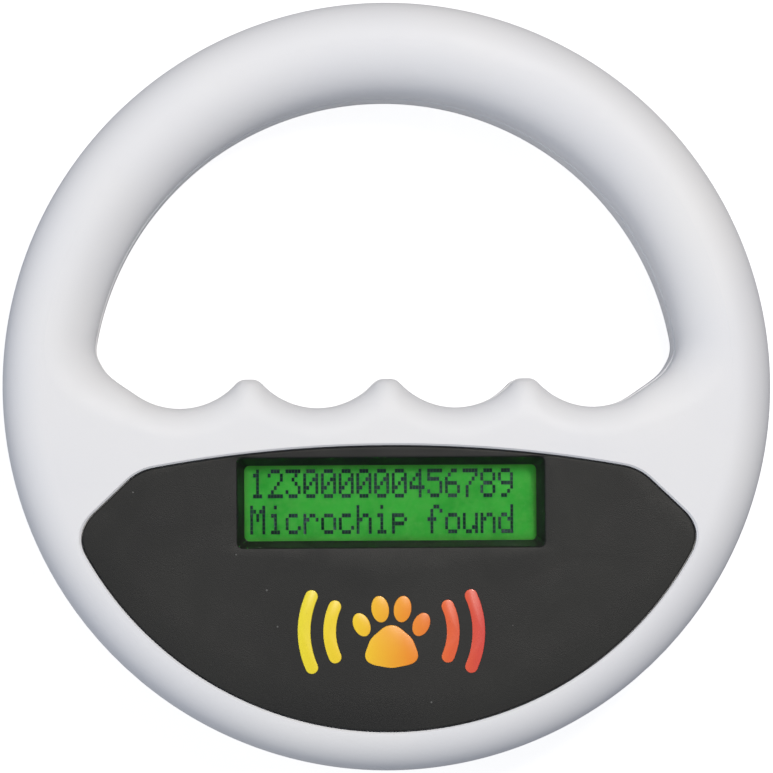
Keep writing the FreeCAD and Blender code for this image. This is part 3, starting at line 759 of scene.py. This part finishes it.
def makeFascia():
    s = fascia
    top = panelHigh.z
    bottom = panelRecess["floor"]
    wellFloor = panelLow.z
    lip = s["lipRound"]
    corner = s["wellCorner"]
    rings = [windowRing(s["wellBottom"], corner, wellFloor)]
    depth = top - wellFloor
    slope = [(s["wellTop"][k] - s["wellBottom"][k]) / depth for k in (0, 1)]
    size = [s["wellTop"][k] - slope[k] * lip for k in (0, 1)]
    rings.append(windowRing(size, corner, top - lip))
    for turn in np.linspace(15, 90, 6):
        out = lip * s["lipSpread"] * (1 - math.cos(math.radians(turn)))
        rise = lip * (1 - math.sin(math.radians(turn)))
        rings.append(windowRing([v + 2 * out for v in size], corner + out, top - rise))
    outline = rings[0][:, :2]
    ways = outline - np.array(windowCentre)
    ways /= np.hypot(ways[:, 0], ways[:, 1])[:, None]
    origins = np.tile(windowCentre, (len(ways), 1))

    def edgeRing(inset, z):
        return atHeight(crossing(panelDistance, origins, ways, -inset, s["reach"]), z)

    edge = [edgeRing(s["gap"] + s["edgeRound"] * share, top - s["edgeRound"] * drop)
            for share, drop in roundedSteps(s["edgeSteps"])]
    edge.reverse()
    inner = rings[-1]
    for t in s["faceSteps"]:
        rings.append(inner * (1 - t) + edge[0] * t)
    rings += edge
    rings.append(edgeRing(s["gap"], bottom))
    rings.append(windowRing(s["collar"], s["collarCorner"], bottom))
    rings.append(windowRing(s["collar"], s["collarCorner"], wellFloor))
    plate = ringPiece("fasciaPlate", rings, fasciaPlastic, flip=True)
    ownPiece(plate, "housing", "charcoal_fascia", "front_panel")


makeFascia()
print("fascia made")


# emblem: a paw and radio waves, in raised ink

emblem = {
    "lift": 0.15 * mm,
    "sink": 0.02 * mm,
    "edge": 0.12 * mm,
    "edgeSteps": 4,
    "centre": (0.3 * mm, -46.3 * mm),
    "toes": [(-5.6, 1.3, 1.55, 2.3, 24), (-2.1, 4.2, 1.65, 2.5, 8), (2.1, 4.2, 1.65, 2.5, -8),
             (5.6, 1.3, 1.55, 2.3, -24)],
    "pad": (0.0, -3.2, 4.8, 3.9),
    "waves": [11.6, 16.4],
    "waveWidth": 2.4,
    "waveTurn": 24.0,
    "colours": [(0.0, (0.85, 0.72, 0.03)), (0.32, (0.93, 0.62, 0.025)), (0.58, (0.90, 0.30, 0.02)),
                (0.80, (0.80, 0.13, 0.035)), (1.0, (0.68, 0.065, 0.05))],
}


def inkGradient():
    material, tree, shader = startMaterial("emblemInk", Roughness=0.32, Coat_Weight=0.25)
    place = addNode(tree, "TexCoord").outputs["Object"]
    across = addNode(tree, "SeparateXYZ", Vector=place).outputs["X"]
    low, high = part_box("panel_emblem")
    wobble = addNode(tree, "TexNoise", Vector=place, Scale=140.0, Detail=3.0)
    shift = mapRange(tree, wobble.outputs[0], 0.0, 1.0, -1.5 * mm, 1.5 * mm)
    moved = calculate(tree, "ADD", across, shift)
    along = mapRange(tree, moved, low.x, high.x, 0.0, 1.0)
    ramp = addNode(tree, "ValToRGB", Fac=along)
    bar = ramp.color_ramp
    while len(bar.elements) < len(emblem["colours"]):
        bar.elements.new(0.5)
    for element, (spot, colour) in zip(bar.elements, emblem["colours"]):
        element.position = spot
        element.color = (*colour, 1)
    tree.links.new(ramp.outputs["Color"], shader.inputs["Base Color"])
    fine = addNode(tree, "TexNoise", Vector=place, Scale=2600.0, Detail=2.0)
    tree.links.new(addBump(tree, fine.outputs[0], 0.15, 0.05 * mm), shader.inputs["Normal"])
    return material


def ellipseOutline(cx, cy, rx, ry, lean, count=40):
    circle = unitTurn(np.linspace(0, 360, count, endpoint=False)) * np.array([rx, ry])
    c, s = math.cos(math.radians(lean)), math.sin(math.radians(lean))
    return circle @ np.array([[c, s], [-s, c]]) + np.array([cx, cy])


def padOutline(cx, cy, rx, ry, count=72):   # a rounded triangle with three soft lobes below
    turns = np.radians(np.linspace(0, 360, count, endpoint=False))
    reach = 1 + 0.10 * np.cos(3 * (turns - math.pi / 2)) + 0.03 * np.cos(6 * (turns - math.pi / 2))
    return np.column_stack([cx + rx * reach * np.cos(turns), cy + ry * reach * np.sin(turns)])


def waveOutline(radius, width, start, end, count=22):
    half = width / 2
    outer = unitTurn(np.linspace(start, end, count)) * (radius + half)
    inner = unitTurn(np.linspace(end, start, count)) * (radius - half)
    caps = []
    for turn, first in ((end, end), (start, start + 180)):
        centre = unitTurn(np.array([turn]))[0] * radius
        caps.append(unitTurn(np.linspace(first, first + 180, 10)[1:-1]) * half + centre)
    return np.concatenate([outer, caps[0], inner, caps[1]])


def inset(outline, amount):   # moves a closed outline inwards along its corner normals
    before = np.roll(outline, 1, axis=0)
    after = np.roll(outline, -1, axis=0)
    tangent = after - before
    normal = np.column_stack([-tangent[:, 1], tangent[:, 0]])
    return outline + normal / np.hypot(*normal.T)[:, None] * amount


def makeEmblem():
    s = emblem
    base = panelHigh.z
    top = base + s["lift"]
    outlines = [ellipseOutline(*toe) for toe in s["toes"]]
    outlines.append(padOutline(*s["pad"]))
    for radius in s["waves"]:
        for middle in (0.0, 180.0):
            outlines.append(waveOutline(radius, s["waveWidth"], middle - s["waveTurn"], middle + s["waveTurn"]))
    vertices = []
    faces = []
    for shape in outlines:
        shape = shape * mm + np.array(s["centre"])
        rings = [atHeight(shape, base - s["sink"])]
        for share, drop in roundedSteps(s["edgeSteps"]):
            rings.append(atHeight(inset(shape, s["edge"] * share), top - s["edge"] * drop))
        first = sum(len(v) for v in vertices)
        count = len(shape)
        faces += [tuple(first + i for i in face) for face in ringsToFaces(count, len(rings), False)]
        last = first + (len(rings) - 1) * count
        faces.append(tuple(range(last, last + count)))
        faces.append(tuple(reversed(range(first, first + count))))
        vertices.append(np.concatenate(rings))
    piece = linkMesh("emblem", np.concatenate(vertices), faces, inkGradient())
    ownPiece(piece, "housing", "emblem_ink", "panel_emblem")


makeEmblem()
print("emblem made")


# display: lit green cell, and its dark dots

display = {
    "textLeft": -26.0 * mm,
    "rowTops": (-15.65 * mm, -22.45 * mm),
    "charPitch": 3.342 * mm,
    "dotPitch": (0.574 * mm, 0.782 * mm),
    "dotSize": (0.545 * mm, 0.745 * mm),
    "dotThickness": 0.03 * mm,
    "rows": ("123000000456789", "Microchip found"),
    "glow": 0.30,
    "ledge": 1.6 * mm,
    "glassEdge": 0.15 * mm,
    "glassCorner": 0.4 * mm,
    "wallShadeHalf": (27.5 * mm, 7.1 * mm),   # painted shade: the green is painted darker towards these, standing in for the well walls' shadow
    "wallShadeWidth": 1.6 * mm,
    "wallShadePower": 1.6,
    "wallShadeAmount": 0.38,
}

dotFont = {
    "0": "01110 10001 10011 10101 11001 10001 01110",
    "1": "00100 01100 00100 00100 00100 00100 01110",
    "2": "01110 10001 00001 00010 00100 01000 11111",
    "3": "11111 00010 00100 00010 00001 10001 01110",
    "4": "00010 00110 01010 10010 11111 00010 00010",
    "5": "11111 10000 11110 00001 00001 10001 01110",
    "6": "00110 01000 10000 11110 10001 10001 01110",
    "7": "11111 00001 00010 00100 01000 01000 01000",
    "8": "01110 10001 10001 01110 10001 10001 01110",
    "9": "01110 10001 10001 01111 00001 00010 01100",
    "M": "10001 11011 10101 10101 10001 10001 10001",
    "c": "00000 00000 01110 10000 10000 10001 01110",
    "d": "00001 00001 01101 10011 10001 10001 01111",
    "f": "00110 01001 01000 11100 01000 01000 01000",
    "h": "10000 10000 10110 11001 10001 10001 10001",
    "i": "00100 00000 01100 00100 00100 00100 01110",
    "n": "00000 00000 10110 11001 10001 10001 10001",
    "o": "00000 00000 01110 10001 10001 10001 01110",
    "p": "00000 00000 11110 10001 11110 10000 10000",
    "r": "00000 00000 10110 11001 10000 10000 10000",
    "u": "00000 00000 10001 10001 10001 10011 01101",
    " ": "00000 00000 00000 00000 00000 00000 00000",
}


def litGreen():
    s = display
    material, tree, shader = startMaterial("litGreen", Roughness=0.5, Specular_IOR_Level=0.08,
                                           Emission_Strength=s["glow"])
    place = addNode(tree, "TexCoord").outputs["Object"]
    patches = addNode(tree, "TexNoise", Vector=place, Scale=150.0, Detail=3.0, Roughness=0.6)
    fine = addNode(tree, "TexNoise", Vector=place, Scale=900.0, Detail=2.0)
    mottled = mixColours(tree, mapRange(tree, patches.outputs[0], 0.35, 0.65, 0.0, 1.0),
                         (0.020, 0.25, 0.024, 1), (0.034, 0.31, 0.034, 1))
    mottled = mixColours(tree, mapRange(tree, fine.outputs[0], 0.4, 0.7, 0.0, 0.35), mottled,
                         (0.075, 0.30, 0.05, 1))
    centred = addNode(tree, "Mapping", Vector=place, Location=(-windowCentre[0], -windowCentre[1], 0.0))
    parts = addNode(tree, "SeparateXYZ", Vector=centred.outputs[0])
    # painted shade: the cell's colour darkens near the edges of the window, where the well's walls cast their
    # shadow
    edges = []
    for axis, half in zip("XY", s["wallShadeHalf"]):
        away = calculate(tree, "ABSOLUTE", parts.outputs[axis])
        edges.append(mapRange(tree, away, half - s["wallShadeWidth"], half, 0.0, 1.0))
    edge = calculate(tree, "MAXIMUM", edges[0], edges[1])
    soft = calculate(tree, "POWER", edge, s["wallShadePower"])
    paintedWallShade = calculate(tree, "MULTIPLY", soft, s["wallShadeAmount"])
    # painted shadow from the well's walls: mixes the green towards a dull dark green near the edges
    colour = mixColours(tree, paintedWallShade, mottled, (0.055, 0.10, 0.018, 1))
    tree.links.new(colour, shader.inputs["Base Color"])
    tree.links.new(colour, shader.inputs["Emission Color"])
    return material


def makeDisplayCell():   # two sheets of glass, the upper one set back to leave the contact ledge
    low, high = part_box("lcd_glass")
    middle = (low.z + high.z) / 2
    ledge = display["ledge"]
    edge = display["glassEdge"]
    centre = nodeCentre("lcd_glass")
    width, height = high.x - low.x, high.y - low.y
    levels = []
    for step, base, top in ((0.0, low.z, middle), (ledge, middle, high.z)):
        levels += [(step, edge, base), (step, 0.0, base + edge), (step, 0.0, top - edge), (step, edge, top)]
    rings = []
    for step, trim, z in levels:
        size = (width - 2 * trim, height - 2 * trim - step)
        place = (centre[0], centre[1] + step / 2)
        rings.append(atHeight(roundedBoxOutline(place, size, display["glassCorner"], 12, 5), z))
    cell = ringPiece("displayCell", rings, litGreen(), capped=True)
    ownPiece(cell, "housing", "display_green", "lcd_glass")


def darkDots():
    material, tree, shader = startMaterial("darkDots", Roughness=0.4, Specular_IOR_Level=0.2)
    place = addNode(tree, "TexCoord").outputs["Object"]
    tone = addNode(tree, "TexNoise", Vector=place, Scale=700.0, Detail=2.0)
    colour = mixColours(tree, mapRange(tree, tone.outputs[0], 0.35, 0.65, 0.0, 1.0),
                        (0.006, 0.014, 0.022, 1), (0.012, 0.028, 0.040, 1))
    tree.links.new(colour, shader.inputs["Base Color"])
    return material


def dotTree(material):   # a small tile on every point
    tree = bpy.data.node_groups.new("dotTiles", "GeometryNodeTree")
    tree.interface.new_socket(name="Geometry", in_out="INPUT", socket_type="NodeSocketGeometry")
    for label in ("Tile Width", "Tile Height", "Tile Thickness"):
        tree.interface.new_socket(name=label, in_out="INPUT", socket_type="NodeSocketFloat")
    tree.interface.new_socket(name="Geometry", in_out="OUTPUT", socket_type="NodeSocketGeometry")
    enter = tree.nodes.new("NodeGroupInput")
    leave = tree.nodes.new("NodeGroupOutput")
    size = tree.nodes.new("ShaderNodeCombineXYZ")
    tile = tree.nodes.new("GeometryNodeMeshCube")
    scatter = tree.nodes.new("GeometryNodeInstanceOnPoints")
    real = tree.nodes.new("GeometryNodeRealizeInstances")
    paint = tree.nodes.new("GeometryNodeSetMaterial")
    paint.inputs["Material"].default_value = material
    for k, label in enumerate(("Tile Width", "Tile Height", "Tile Thickness")):
        tree.links.new(enter.outputs[label], size.inputs[k])
    tree.links.new(size.outputs[0], tile.inputs["Size"])
    tree.links.new(enter.outputs["Geometry"], scatter.inputs["Points"])
    tree.links.new(tile.outputs["Mesh"], scatter.inputs["Instance"])
    tree.links.new(scatter.outputs[0], real.inputs[0])
    tree.links.new(real.outputs[0], paint.inputs["Geometry"])
    tree.links.new(paint.outputs[0], leave.inputs["Geometry"])
    return tree


def setInput(modifier, label, value):
    for item in modifier.node_group.interface.items_tree:
        if item.name == label and item.in_out == "INPUT":
            modifier[item.identifier] = value


def makeDots():
    s = display
    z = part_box("lcd_glass")[1].z + s["dotThickness"] / 2
    points = []
    for text, top in zip(s["rows"], s["rowTops"]):
        for place, letter in enumerate(text):
            for row, bits in enumerate(dotFont[letter].split()):
                for column, bit in enumerate(bits):
                    if bit == "1":
                        x = s["textLeft"] + place * s["charPitch"] + (column + 0.5) * s["dotPitch"][0]
                        points.append((x, top - (row + 0.5) * s["dotPitch"][1], z))
    material = darkDots()
    dots = linkMesh("displayDots", points, [], material)
    tiles = dots.modifiers.new("tiles", "NODES")
    tiles.node_group = dotTree(material)
    setInput(tiles, "Tile Width", s["dotSize"][0])
    setInput(tiles, "Tile Height", s["dotSize"][1])
    setInput(tiles, "Tile Thickness", s["dotThickness"])
    settle(dots)
    ownPiece(dots, "housing", "display_green")


makeDisplayCell()
makeDots()
print("display made")


# finishes of the other pieces

def metalFinish(name, colour, roughness, streak=(1.0, 1.0, 1.0), scale=800.0, bump=0.05):
    material, tree, shader = startMaterial(name, Metallic=1.0)
    place = addNode(tree, "TexCoord").outputs["Object"]
    drawn = addNode(tree, "Mapping", Vector=place, Scale=streak)
    grain = addNode(tree, "TexNoise", Vector=drawn.outputs[0], Scale=scale, Detail=4.0)
    tone = mixColours(tree, mapRange(tree, grain.outputs[0], 0.3, 0.7, 0.0, 1.0), (*colour, 1),
                      (*[0.82 * c for c in colour], 1))
    tree.links.new(tone, shader.inputs["Base Color"])
    tree.links.new(mapRange(tree, grain.outputs[0], 0.3, 0.7, roughness - 0.06, roughness + 0.08),
                   shader.inputs["Roughness"])
    tree.links.new(addBump(tree, grain.outputs[0], bump, 0.02 * mm), shader.inputs["Normal"])
    return material


def clearLens():
    material, tree, shader = startMaterial("clearLens", Transmission_Weight=1.0, IOR=1.12,
                                           Base_Color=(0.97, 0.99, 0.98, 1))
    place = addNode(tree, "TexCoord").outputs["Object"]
    haze = addNode(tree, "TexNoise", Vector=place, Scale=120.0, Detail=4.0)
    tree.links.new(mapRange(tree, haze.outputs[0], 0.45, 0.75, 0.0, 0.06), shader.inputs["Roughness"])
    return material


def boardMask():
    material, tree, shader = startMaterial("boardMask", Coat_Weight=0.3)
    place = addNode(tree, "TexCoord").outputs["Object"]
    tracks = addNode(tree, "TexBrick", Vector=place, Scale=300.0)
    tone = mixColours(tree, tracks.outputs["Fac"], (0.008, 0.075, 0.022, 1), (0.015, 0.13, 0.04, 1))
    tree.links.new(tone, shader.inputs["Base Color"])
    worn = addNode(tree, "TexNoise", Vector=place, Scale=200.0)
    tree.links.new(mapRange(tree, worn.outputs[0], 0.3, 0.7, 0.25, 0.4), shader.inputs["Roughness"])
    return material


def wovenCopper():
    material, tree, shader = startMaterial("copperWinding", Metallic=1.0)
    place = addNode(tree, "TexCoord").outputs["Object"]
    turns = addNode(tree, "TexWave", {"wave_type": "RINGS", "rings_direction": "Z"}, Vector=place,
                    Scale=1500.0, Distortion=0.4)
    # the winding's turns pattern is real, but the colour is painted darker in the grooves between turns as
    # painted shade, following the bump's low parts
    tone = mixColours(tree, turns.outputs["Fac"], (0.30, 0.10, 0.04, 1), (0.72, 0.33, 0.15, 1))
    tree.links.new(tone, shader.inputs["Base Color"])
    tree.links.new(mapRange(tree, turns.outputs["Fac"], 0.0, 1.0, 0.45, 0.25), shader.inputs["Roughness"])
    tree.links.new(addBump(tree, turns.outputs["Fac"], 0.4, 0.1 * mm), shader.inputs["Normal"])
    return material


ratingLabel = {
    "frameHalf": (18.6 * mm, 7.6 * mm),   # half sizes of the thin printed frame
    "lineHalf": 0.15 * mm,
}


def blankLabel():
    material, tree, shader = startMaterial("blankLabel", Metallic=0.7)
    place = addNode(tree, "TexCoord").outputs["Object"]
    cx, cy = nodeCentre("rating_label")
    centred = addNode(tree, "Mapping", Vector=place, Location=(-cx, -cy, 0.0))
    parts = addNode(tree, "SeparateXYZ", Vector=centred.outputs[0])
    bands = []
    for axis, half in zip("XY", ratingLabel["frameHalf"]):
        away = calculate(tree, "ABSOLUTE", parts.outputs[axis])
        bands.append(calculate(tree, "SUBTRACT", away, half))
    nearest = calculate(tree, "MAXIMUM", bands[0], bands[1])
    offset = calculate(tree, "ABSOLUTE", nearest)
    line = calculate(tree, "LESS_THAN", offset, ratingLabel["lineHalf"])
    drawn = addNode(tree, "Mapping", Vector=place, Scale=(1.0, 30.0, 1.0))
    grain = addNode(tree, "TexNoise", Vector=drawn.outputs[0], Scale=120.0, Detail=3.0)
    foil = mixColours(tree, grain.outputs[0], (0.52, 0.53, 0.54, 1), (0.66, 0.67, 0.68, 1))
    tree.links.new(mixColours(tree, line, foil, (0.08, 0.08, 0.09, 1)), shader.inputs["Base Color"])
    tree.links.new(mapRange(tree, grain.outputs[0], 0.3, 0.7, 0.28, 0.42), shader.inputs["Roughness"])
    return material


easing = {
    "weld": 0.002 * mm,
    "flatAngle": 1.0,
    "segments": 2,
}


def softened(node, material, body, slot, width):   # a CAD node with its sharp edges eased
    piece = bpy.data.objects.new(node + "Eased", cadNodes[node].data.copy())
    bpy.context.scene.collection.objects.link(piece)
    weld = piece.modifiers.new("weld", "WELD")
    weld.merge_threshold = easing["weld"]
    flatten = piece.modifiers.new("flatten", "DECIMATE")
    flatten.decimate_type = "DISSOLVE"
    flatten.angle_limit = math.radians(easing["flatAngle"])
    ease = piece.modifiers.new("ease", "BEVEL")
    ease.width = width
    ease.segments = easing["segments"]
    ease.limit_method = "ANGLE"
    ease.angle_limit = math.radians(smoothAngle)
    ease.use_clamp_overlap = True
    settle(piece)
    piece.data.materials.clear()
    piece.data.materials.append(material)
    ownPiece(piece, body, slot, node)


finishes = {
    "steel": metalFinish("brightSteel", (0.62, 0.62, 0.61), 0.28),
    "gold": metalFinish("goldPins", (0.80, 0.60, 0.24), 0.25),
    "foil": metalFinish("cellFoil", (0.60, 0.61, 0.63), 0.35, scale=90.0, bump=0.3),
    "copper": wovenCopper(),
    "board": boardMask(),
    "lens": clearLens(),
    "label": blankLabel(),
    "chip": mouldedPlastic("chipBlack", (0.022, 0.022, 0.023), (0.030, 0.030, 0.030), (0.45, 0.6), 4000.0, 0.3),
    "frame": mouldedPlastic("frameBlack", (0.012, 0.012, 0.012), (0.02, 0.02, 0.02), (0.5, 0.65), 3000.0, 0.2),
    "foam": mouldedPlastic("blackFoam", (0.02, 0.02, 0.02), (0.035, 0.035, 0.035), (0.85, 0.95), 2200.0, 0.9),
    "nylon": mouldedPlastic("naturalNylon", (0.72, 0.70, 0.62), (0.66, 0.64, 0.56), (0.35, 0.5), 1800.0, 0.15),
    "ceramic": mouldedPlastic("tanCeramic", (0.42, 0.28, 0.14), (0.50, 0.35, 0.18), (0.5, 0.6), 3000.0, 0.2),
    "ferrite": mouldedPlastic("greyFerrite", (0.05, 0.05, 0.055), (0.08, 0.08, 0.08), (0.55, 0.7), 2500.0, 0.4),
    "diffuser": mouldedPlastic("backlightDiffuser", (0.70, 0.74, 0.62), (0.62, 0.68, 0.55), (0.4, 0.5),
                               1500.0, 0.1),
    "leadRed": mouldedPlastic("leadInsulation", (0.42, 0.02, 0.02), (0.34, 0.015, 0.015), (0.35, 0.45),
                              1500.0, 0.1),
    "button": mouldedPlastic("greyButton", (0.16, 0.165, 0.175), (0.19, 0.195, 0.20), (0.38, 0.5), 3600.0, 0.35,
                             dust=300.0),
    "coverRubber": mouldedPlastic("coverRubber", (0.40, 0.41, 0.43), (0.44, 0.45, 0.46), (0.55, 0.7),
                                  2600.0, 0.4, dust=420.0, dustColour=(0.75, 0.74, 0.72, 1)),
}

finishNodes = {
    "lens": ["window_lens"],
    "foam": ["lens_gasket", "battery_pad"],
    "frame": ["lcd_bezel"],
    "diffuser": ["lcd_backlight"],
    "board": ["lcd_board", "main_board"],
    "chip": ["lcd_header_strip", "microcontroller", "antenna_driver", "memory_chip",
             "charge_controller", "voltage_regulator", "buzzer", "switch_body", "usb_socket_tongue",
             "switch_plunger"],
    "gold": ["lcd_header_pins"],
    "steel": ["lcd_screws", "board_screws", "crystal", "cover_pin"],
    "ceramic": ["tuning_capacitors"],
    "ferrite": ["power_inductor"],
    "copper": ["antenna_coil", "antenna_leads"],
    "nylon": ["coil_clips", "battery_plug", "battery_socket"],
    "foil": ["battery_cell"],
    "leadRed": ["battery_leads"],
    "label": ["rating_label"],
}

for finish, nodes in finishNodes.items():
    for node in nodes:
        cadNodes[node].data.materials.clear()
        cadNodes[node].data.materials.append(finishes[finish])

softened("port_cover", finishes["coverRubber"], "cover", "cover_rubber", 0.15 * mm)
softened("read_button", finishes["button"], "button", "grey_button", 0.15 * mm)
softened("case_screws", finishes["steel"], "housing", "bright_steel", 0.12 * mm)
softened("usb_socket_shell", finishes["steel"], "housing", "bright_steel", 0.08 * mm)
print("finishes set")
